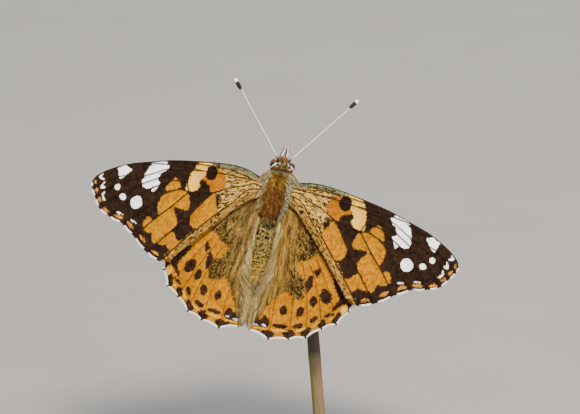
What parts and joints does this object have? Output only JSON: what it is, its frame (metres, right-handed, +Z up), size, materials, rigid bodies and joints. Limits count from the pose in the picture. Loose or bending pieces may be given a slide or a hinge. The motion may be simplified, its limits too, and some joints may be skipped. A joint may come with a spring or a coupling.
{
  "type": "painted lady butterfly",
  "caption": "Life-size painted lady butterfly with open, veined wings, clubbed feelers and furred body, gripping a cut stem on a small round display stand.",
  "frame": {"origin": "middle of the underside of the stand's base", "axes": "+Z up; the butterfly faces -Y with its back, head up, and its right wings lie towards +X"},
  "size_m": [0.0578, 0.0363, 0.0704],
  "materials": {
    "wing_scales": "matt scales, orange, dark brown and white",
    "body_fur": "soft rust to golden-olive hair",
    "eye": "satin brown compound eye with a dark band",
    "feeler": "dark, ringed with white",
    "proboscis": "satin brown chitin",
    "leg": "cream to brown scaled chitin",
    "stem": "dry olive-tan plant stem with a pinkish-brown side",
    "stand_base": "black satin lacquer",
    "stand_rod": "brushed"
  },
  "bodies": {
    "root": {"forewing_left": "wing_scales", "forewing_right": "wing_scales", "hindwing_left": "wing_scales", "hindwing_right": "wing_scales", "thorax": "body_fur", "head": "body_fur", "palp_left": "body_fur", "palp_right": "body_fur", "abdomen": "body_fur", "eye_left": "eye", "eye_right": "eye", "antenna_left": "feeler", "antenna_right": "feeler", "proboscis": "proboscis", "foreleg_left": "leg", "foreleg_right": "leg", "midleg_left": "leg", "midleg_right": "leg", "hindleg_left": "leg", "hindleg_right": "leg", "perch_stem": "stem", "stand_base": "stand_base", "stand_rod": "stand_rod"}
  },
  "joints": []
}
